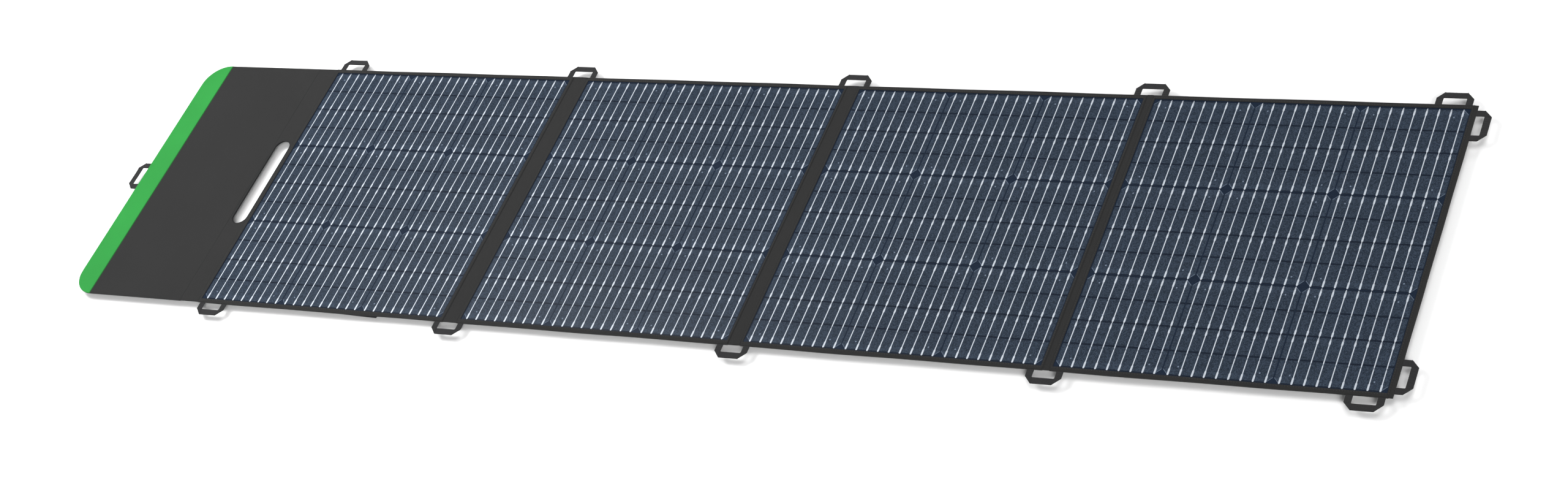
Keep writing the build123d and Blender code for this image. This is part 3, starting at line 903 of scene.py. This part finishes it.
flap_sheet(
    "flap_front_fabric", "flap_front_cover", "front_fabric", front_cloth, flap_x1, BODY_COLUMNS, 0.5,
    lambda x, inside: flap_top - rounding(inside, EDGE_ROUND),
)
# The green band has a painted shade line along its seam.
green_cloth = cloth("green_fabric", GREEN, contrast=0.1, seam=seam_x)
flap_sheet(
    "flap_green_edge", "flap_green_band", "green_fabric", green_cloth, seam_x, 2, 0.4, band_surface
)
flap_sheet(
    "flap_back_fabric", "flap_back_cover", "back_fabric", back_cloth, flap_x1, BODY_COLUMNS, 0.5,
    flap_back_surface, front=False,
)


# ---- end hem ----
WEB_RISE = 0.26
WEB_THICK = 0.16


def end_hem():
    """Hem beyond the last panel: a thin web runs up to the thick turned edge."""
    x0, _, _, x1, _, _ = span("end_hem_fabric")
    start = span("panel_4_front_border")[3]
    web = start + np.append(np.arange(0, 0.97, 0.12), 1.0) * (x0 - start)
    thick = np.linspace(x0 + 0.06, x1 - 2.0, 8)
    rolled = x1 - np.array([1.4, 0.8, 0.35, 0.1, 0.0])
    x, y = np.meshgrid(np.concatenate([web, thick, rolled]), across_rows(48))
    drop = np.maximum(rounding(x1 - x, 1.7), rounding(HALF - np.abs(y), 1.4))
    wave = 0.15 * np.sin(y / 21.0) * smooth((x - x0) / 5)
    # The web lies just under the fold's axis.
    ridge = Z_TOP - 0.05 + (WEB_RISE + 0.05) * smooth((x - start) / 0.2)
    thick_top = Z_TOP - 0.1 - 0.35 * smooth((x - x0) / 3)
    on_web = x <= x0
    top = np.where(on_web, ridge, thick_top) - drop
    bottom = np.where(on_web, top - WEB_THICK, Z_BACK + 0.6 + drop * 0.8)
    shape = slab(Shape(), x + wave, long_edge(x, y), top, np.minimum(bottom, top - WEB_THICK))
    piece = shape.piece("end_hem_fold", "front_fabric", [front_cloth])
    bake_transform(piece)
    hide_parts("end_hem_fabric")


end_hem()


# ---- webbing loops ----
WEB = 11.0
OPENING = 36.0
REACH = 24.0
MITRE = 12.0
ROOT = 3.4
HEM_ROOT = 3.0
FOLD_ROOT = 0.4
FOLD_WEB = 1.2
LOOP_HALF = OPENING / 2 + WEB
# Places across the webbing, and how far its rounded edges drop there.
WEB_SHARE = np.array([0.0, 0.04, 0.12, 0.3, 0.5, 0.7, 0.88, 0.96, 1.0])
WEB_EDGE = np.array([0.55, 0.2, 0.04, 0.0, 0.0, 0.0, 0.04, 0.2, 0.55])


def loop_stations(root, side):
    """Inner and outer points round a loop that stands on y = 0 and points to +Y, left to right.

    side is -1 or 1 for its left or right half, and 0 for all of it."""
    inner_x, inner_y = OPENING / 2, REACH - WEB
    left = [((-inner_x, y), (-LOOP_HALF, y)) for y in np.linspace(-root, REACH - MITRE - 0.8, 7)]
    for t in np.linspace(0, 1, 5):
        inner = (-inner_x + 0.8 * t, inner_y - 0.8 * (1 - t))
        left.append((inner, (-LOOP_HALF + MITRE * t, REACH - MITRE + MITRE * t)))
    for t in np.linspace(-1, 0, 8)[1:]:
        left.append(((t * inner_x, inner_y), (t * (LOOP_HALF - MITRE), REACH)))
    left = np.array(left)
    right = left[::-1] * (-1, 1)
    return {-1: left, 0: np.concatenate([left, right[1:]]), 1: right}[side]


def loop_shape(z0, z1, side=0, root=ROOT, droop=0.0):
    """A flat webbing loop, or its left (-1) or right (1) half."""
    stations = loop_stations(root, side)
    inner, outer = stations[:, 0], stations[:, 1]
    run = travelled((inner + outer) / 2)[:, None]
    x, y = (inner[:, k, None] + (outer - inner)[:, k, None] * WEB_SHARE for k in (0, 1))
    sag = droop * smooth(np.maximum(y, 0) / REACH) + 0.1 * np.sin(run / 6.0)
    uv = np.stack(np.broadcast_arrays(run, WEB_SHARE * WEB), -1)
    shape = slab(Shape(), x, y, z1 - WEB_EDGE - sag, z0 + WEB_EDGE * 0.6 - sag, uv=uv)
    # Folded corner: a second layer over each mitre.
    fold_line = np.array([[LOOP_HALF, REACH - MITRE], [LOOP_HALF - MITRE, REACH]])
    inner_line = np.array([[OPENING / 2 + 0.4, REACH - WEB - 0.6], [OPENING / 2 - 0.2, REACH - WEB + 0.2]])
    net = inner_line + (fold_line - inner_line) * np.linspace(0, 1, 6)[:, None, None]
    crown = 0.35 * (1 - np.sin(np.linspace(0.25, 1, 6) * math.pi / 2))[:, None]
    for way in (-1, 1):
        if side != -way:
            px, py = way * net[..., 0], net[..., 1]
            high = z1 + 0.5 - crown - droop * 0.8
            slab(shape, px, py, high, z1 - 0.2 - droop, uv=np.stack([py, px], -1))
    return shape


def sewn_loop(name, node, at, angle, body, root=ROOT):
    """A loop sewn to one body."""
    shape = loop_shape(span(node)[2], span(node)[5], root=root, droop=0.5).place(*at, angle)
    piece = shape.fixed(name, "webbing", [webbing], body, node)


for label in ("panel_1", "panel_4"):
    node = f"{label}_webbing_loops"
    x = (span(node)[0] + span(node)[3]) / 2
    sewn_loop(f"{label}_loop_far", node, (x, HALF), 0.0, label)
    sewn_loop(f"{label}_loop_near", node, (x, -HALF), math.pi, label)
hem_loops = span("end_hem_webbing_loops")
for name, y in (("far", hem_loops[4] - LOOP_HALF), ("near", hem_loops[1] + LOOP_HALF)):
    at = (hem_loops[3] - REACH, y)
    sewn_loop(f"end_loop_{name}", "end_hem_webbing_loops", at, -math.pi / 2, "end_hem", HEM_ROOT)
flap_loop = span("flap_webbing_loop")
at = (flap_loop[0] + REACH, (flap_loop[1] + flap_loop[4]) / 2)
sewn_loop("flap_loop", "flap_webbing_loop", at, math.pi / 2, "flap")


def bridging_loops(label, i, j):
    """Loops that stand over a fold, each in two halves, one on either side of it."""
    fold = f"fold_{label}"
    node = f"{fold}_webbing_loops"
    x = (span(node)[0] + span(node)[3]) / 2
    x0, _, _, x1, _, z_high = span(f"{fold}_front_fabric")
    z_mid = (z_high + span(f"{fold}_back_fabric")[2]) / 2
    for edge, y, angle in (("far", HALF, 0.0), ("near", -HALF, math.pi)):
        for hand, way, panel, line in (("left", -1, i, x0 - HINGE_GAP), ("right", 1, j, x1 + HINGE_GAP)):
            side = way if edge == "far" else -way
            z0, z1 = z_mid - FOLD_WEB / 2, z_mid + FOLD_WEB / 2
            shape = loop_shape(z0, z1, side, FOLD_ROOT, droop=0.15).place(x, y, angle)
            piece = shape.piece(f"{fold}_loop_{edge}_{hand}", "webbing", [webbing])
            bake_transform(piece)
            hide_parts(node)


for label, i, j in FOLDS:
    bridging_loops(label, i, j)


# ---- carry handle behind the middle fold ----
HANDLE_THICK = 2.4
HANDLE_SHARE = np.array([-1, -0.97, -0.88, -0.6, 0, 0.6, 0.88, 0.97, 1.0])
HANDLE_EDGE = np.array([0.45, 0.72, 0.94, 1, 1, 1, 0.94, 0.72, 0.45])


def carry_handle():
    """Strap sewn down at both ends with a box of stitches, and bowed out between them."""
    x0, y0, z0, x1, y1, z1 = span("carry_handle")
    width = x1 - x0
    y = np.linspace(y0, y1, 97)
    rise = smooth((np.abs(y) - 33.0) / 28.0)
    z = z0 + HANDLE_THICK / 2 + 0.1 + (z1 - z0 - HANDLE_THICK - 0.15) * rise
    run = travelled(np.stack([y, z], -1))[:, None]
    slope = np.gradient(z, y)[:, None]
    out = HANDLE_EDGE * HANDLE_THICK / 2 / np.hypot(1, slope)
    x = (x0 + x1) / 2 + HANDLE_SHARE * width / 2
    y, z = y[:, None], z[:, None]
    uv = np.stack(np.broadcast_arrays(run, HANDLE_SHARE * width / 2), -1)
    shape = Shape()
    shell(shape, stacked(x, y - slope * out, z + out), stacked(x, y + slope * out, z - out), uv=uv)
    level = z1 - HANDLE_THICK - 0.15
    left, right = x0 + 2.5, x1 - 2.5
    for way in (-1, 1):
        a, b = way * (y1 - 2.5), way * (y1 - 17.0)
        corners = [(left, a, level), (right, a, level), (right, b, level), (left, b, level)]
        for ends in (*zip(corners, corners[1:] + corners[:1]), *zip(corners[:2], corners[2:])):
            stitches(shape, ends, pitch=2.6, length=2.0, radius=0.22, lift=DOWN)
    materials = [handle_webbing, thread]
    piece = shape.fixed("carry_handle_strap", "handle_webbing", materials, "fold_23", "carry_handle")


carry_handle()


# ---- kickstands ----
STAND_SEAM = 6.0
STAND_CORNER = 3.0


def kickstand(n):
    """Fabric sewn over a board whose lower edge slants: rounded edges, a stitched seam groove."""
    node = f"kickstand_{n}_board"
    points = np.array([v.co[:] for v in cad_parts[node].data.vertices]) / MM
    x0, _, z0, x1, y1, z1 = span(node)
    low_left, low_right = (points[np.abs(points[:, 0] - x) < 0.5][:, 1].min() for x in (x0, x1))
    middle, half = (x0 + x1) / 2, (x1 - x0) / 2
    # u runs from side to side as -1 to 1, and v down from the hinge as 0 to 1.
    columns = edge_spaced(-half, half, 34) / half
    rows = edge_spaced(0, 1000, 30, (0.0, 1.0, 2.6, 5.0, 9.0, 16.0)) / 1000
    u, v = np.meshgrid(columns, rows)
    length = y1 - (low_left + (low_right - low_left) * (u + 1) / 2)
    y = y1 - v * length
    from_low = (1 - v) * length
    half_there = half - rounding(from_low, STAND_CORNER)
    x = middle + u * half_there
    edge = np.minimum(np.minimum(half_there - np.abs(x - middle), from_low), v * length)
    drop = rounding(edge, 1.2) * 0.95
    seam = 0.25 * np.exp(-((edge - STAND_SEAM) / 1.0) ** 2)
    wrinkle = 0.05 * np.sin(x / 19.0 + n) * np.sin(y / 27.0)
    bottom = z0 + drop + seam + wrinkle * smooth(edge / 10)
    shape = slab(Shape(), x, y, np.maximum(z1 - drop - seam, bottom + 0.12), bottom)
    left, right, high = x0 + STAND_SEAM, x1 - STAND_SEAM, y1 - STAND_SEAM
    corners = [(left, high), (right, high), (right, low_right + STAND_SEAM), (left, low_left + STAND_SEAM)]
    line = stacked(*np.array(corners).T, z0 + 0.22)
    stitches(shape, closed_line(line), lift=DOWN, pitch=4.6, length=3.4)
    materials = [stand_cloth, thread]
    shape.fixed(f"kickstand_{n}_leaf", "kickstand_fabric", materials, f"kickstand_{n}", node)


for n in STAND_PANELS:
    kickstand(n)


# ---- pocket, zip and outlet ----
POCKET_WALL = 1.0
POCKET_CORNER = 6.0
ROUND = round_turns(8)


def rolled_lip(shape, x, y, z):
    """Hemmed lip along the pocket's mouth: a rod of fabric, closed at both ends."""
    x, n = x[:, None], len(ROUND)
    verts = stacked(x, y + 0.9 * np.cos(ROUND), z + 0.8 * np.sin(ROUND) + 0.2 * np.sin(x / 31.0))
    last = (len(x) - 1) * n
    caps = [tuple(range(n - 1, -1, -1)), tuple(range(last, last + n))]
    shape.add(verts, grid_faces(len(x), n, wrap=True) + caps, mark=TAPE)


def pocket():
    """Pouch behind the first panel: three gusset sides, an open hemmed mouth and a soft belly."""
    x0, y0, z0, x1, y1, z1 = span("pocket_pouch")
    xs = edge_spaced(x0, x1, 34, (0.0, 0.05, 0.3, 0.9, 2.0, 4.0, 7.0))
    ys = np.concatenate([np.linspace(y0, y1 - 9, 30), y1 - np.array([7.0, 4.0, 2.0, 0.9, 0.3, 0.05, 0.0])])
    x, y = np.meshgrid(xs, ys)
    # The gusset stands up from a soft lower corner.
    from_side = np.minimum(np.minimum(x - x0, x1 - x), y1 - y)
    height = z1 - z0 - 0.05
    rise = np.where(from_side < 0.02, height, rounding(from_side, POCKET_CORNER))
    soft = 0.35 * np.sin(x / 31.0) * np.sin(y / 23.0) + 0.25 * np.sin((x + y) / 17.0)
    lower = z0 + 0.55 + rise * (height - 0.6) / height + soft * smooth(from_side / 25)
    upper = np.minimum(lower + POCKET_WALL, z1 - 0.02)
    shape = slab(Shape(), x, y, upper, np.minimum(lower, upper - 0.05))
    rolled_lip(shape, np.linspace(x0 + 5, x1 - 5, 60), y0 + 0.9, z0 + 1.6)
    line = [(x0 + 8, y0 + 6.0, z0 + 0.5), (x1 - 8, y0 + 6.0, z0 + 0.5)]
    stitches(shape, line, lift=DOWN, pitch=4.4)
    materials = [back_cloth, thread, tape_cloth]
    piece = shape.fixed("pocket_bag", "back_fabric", materials, "panel_1", "pocket_pouch")


def bevelled(shape, low, high, radius, segments=2, mark=0):
    """Adds a block with rounded edges."""
    work = bmesh.new()
    bmesh.ops.create_cube(work, size=1.0)
    for v in work.verts:
        v.co = Vector([(a + b) / 2 + c * (b - a) for a, b, c in zip(low, high, v.co)])
    bmesh.ops.bevel(work, geom=work.edges[:], offset=radius, segments=segments, affect="EDGES", profile=0.5)
    work.verts.index_update()
    faces = [tuple(v.index for v in f.verts) for f in work.faces]
    shape.add([v.co[:] for v in work.verts], faces, mark=mark)
    work.free()


ZIP_METAL = 1
TOOTH_PITCH = 2.2
TOOTH_HALF = 0.75


def zip_tape():
    """Zip tape above the mouth, with its teeth along the lower edge and two end stops."""
    x0, y0, z0, x1, y1, z1 = span("pocket_zip")
    x, z = np.meshgrid(np.linspace(x0 + 0.5, x1 - 0.5, 70), np.linspace(z0 + 0.6, z1, 6))
    ripple = 0.08 * np.sin(x / 9.0)
    shape = shell(Shape(), stacked(x, y0 + 0.25 + ripple, z), stacked(x, y1 - 0.2 + ripple, z))
    for k, at in enumerate(np.arange(x0 + 3, x1 - 3, TOOTH_PITCH)):
        level = z0 + 0.75 + (0.2 if k % 2 else -0.05)
        low, high = (at - TOOTH_HALF, y0 + 0.02, level - 0.65), (at + TOOTH_HALF, y1 + 0.1, level + 0.65)
        bevelled(shape, low, high, 0.25, mark=ZIP_METAL)
    for at in (x0 + 1.6, x1 - 1.6):
        low, high = (at - 1.2, y0 + 0.02, z0 + 0.1), (at + 1.2, y1, z0 + 2.4)
        bevelled(shape, low, high, 0.3, mark=ZIP_METAL)
    shape.fixed("pocket_zip_tape", "zip_tape", [zip_cloth, zip_metal], "panel_1", "pocket_zip")


PULL_RADIUS = 1.45
PULL_STRAIGHT = 5.6
PULL_THICK = 0.6


def zip_slider():
    """Slider body of two plates and a bridge, with a pull shaped as a long ring."""
    node = "zip_slider_puller"
    x0, y0, z0, x1, y1, z1 = span(node)
    body_y = y1 - 5.0
    cx, cz = (x0 + x1) / 2, (z0 + z1) / 2
    shape = Shape()
    for low_y, high_y in ((body_y, body_y + 1.5), (y1 - 1.5, y1 - 0.05)):
        bevelled(shape, (x0 + 0.2, low_y, z0 + 0.1), (x1 - 0.2, high_y, z1 - 0.1), 0.6, 3)
    bevelled(shape, (cx - 1.3, body_y + 1.0, cz - 1.6), (cx + 1.3, y1 - 1.0, cz + 1.6), 0.4, 3)
    turns = round_turns(28)[:, None]
    wire = 0.5 * np.cos(ROUND)
    stretch = np.where(np.sin(turns) > 0, PULL_STRAIGHT, -PULL_STRAIGHT)
    x = cx + (PULL_RADIUS + wire) * np.cos(turns)
    y = (y0 + body_y) / 2 + (PULL_RADIUS + wire) * np.sin(turns) + stretch
    verts = stacked(x, y, cz + PULL_THICK * np.sin(ROUND))
    shape.add(verts, grid_faces(len(turns), len(ROUND), wrap=True, closed=True))
    shape.fixed("pocket_zip_slider", "zip_metal", [zip_metal], "zip_slider", node)


CORD_BORE = 2.6
RIBS = 5
RIB_PITCH = 2.4


def outlet_gland():
    """Ribbed strain relief round the outlet bore, tapering away from the box."""
    node = "cable_outlet_gland"
    x0, y0, z0, x1, y1, z1 = span(node)
    outer = (x1 - x0) / 2
    profile = [(y1, CORD_BORE), (y1, outer)]
    for k in range(RIBS):
        at = y1 - RIB_PITCH * (k + 1)
        size = outer - 0.12 * k
        profile += [(at + 0.5, size), (at, size - 0.45), (at - 0.6, size - 0.45), (at - 1.1, size)]
    profile += [(y0, outer - 0.7), (y0, CORD_BORE)]
    y, radius = np.array(profile).T[:, :, None]
    turns = round_turns(32)
    verts = stacked((x0 + x1) / 2 + radius * np.cos(turns), y, (z0 + z1) / 2 + radius * np.sin(turns))
    shape = Shape().add(verts, grid_faces(len(profile), len(turns), wrap=True, closed=True))
    shape.fixed("outlet_strain_relief", "black_plastic", [plastic], "panel_1", node)


pocket()
zip_tape()
zip_slider()
outlet_gland()


# ---- CAD nodes that are shown as they are ----
def dress(paint, *nodes):
    """Gives carried-over CAD nodes their material."""
    for node in nodes:
        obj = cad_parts[node]
        if not obj.material_slots:
            obj.data.materials.append(paint)
        for holder in obj.material_slots:
            holder.material = paint


for n in PANELS:
    dress(cell_paint(n, *fields[n][:2]), f"panel_{n}_cells")
    dress(film_paint, f"panel_{n}_front_film")
    dress(board_paint, f"panel_{n}_backing_board")
for label, _, _ in FOLDS:
    dress(copper, f"fold_{label}_flat_leads")
dress(board_paint, "flap_stiffener")
dress(steel, "panel_2_magnet_keepers", "flap_magnets")
dress(plastic, "junction_box_case", "junction_box_lid")
dress(circuit, "junction_diode_board")


# ---- floor ----
floor_paint = solid("floor_paper", (0.9, 0.9, 0.9, 1.0), grain=60.0, amount=0.01, depth=0.01, Roughness=0.9)
FLOOR_HALF = 12.0
FLOOR_DROP = 0.0004
corners = [(x * FLOOR_HALF, y * FLOOR_HALF, 0) for x, y in ((-1, -1), (1, -1), (1, 1), (-1, 1))]
floor_mesh = bpy.data.meshes.new("floor")
floor_mesh.from_pydata(corners, [], [(0, 1, 2, 3)])
floor_mesh.materials.append(floor_paint)
floor = link("floor", floor_mesh)
floor.location.z = -FLOOR_DROP
